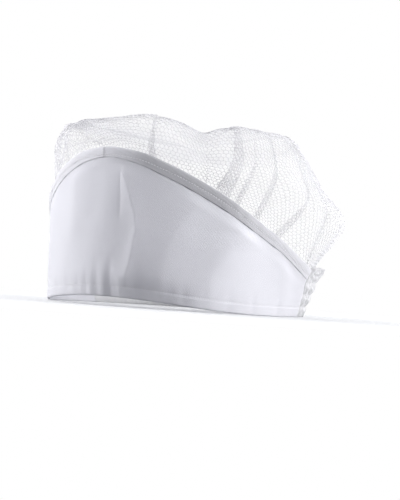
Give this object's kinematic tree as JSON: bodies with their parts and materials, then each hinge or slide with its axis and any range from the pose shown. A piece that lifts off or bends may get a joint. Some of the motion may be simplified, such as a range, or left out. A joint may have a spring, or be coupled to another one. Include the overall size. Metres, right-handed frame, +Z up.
{
  "type": "mesh hair cap",
  "caption": "White catering cap with a tall cloth front, a bound top edge, a puffed net crown and a gathered elastic band at the back.",
  "frame": {"origin": "middle of the outline, on the surface that the rim rests on", "axes": "+Z up through the crown, the front of the cap faces -Y, the wearer's left is +X"},
  "size_m": [0.1934, 0.2336, 0.1222],
  "materials": {
    "twill": "matte white twill",
    "binding": "matte white twill strip",
    "net": "white knitted hexagonal net",
    "elastic_band": "gathered matte white cloth over elastic"
  },
  "bodies": {
    "root": {"front_panel": "twill", "top_binding": "binding", "net_crown": "net", "rear_band": "elastic_band"}
  },
  "joints": []
}
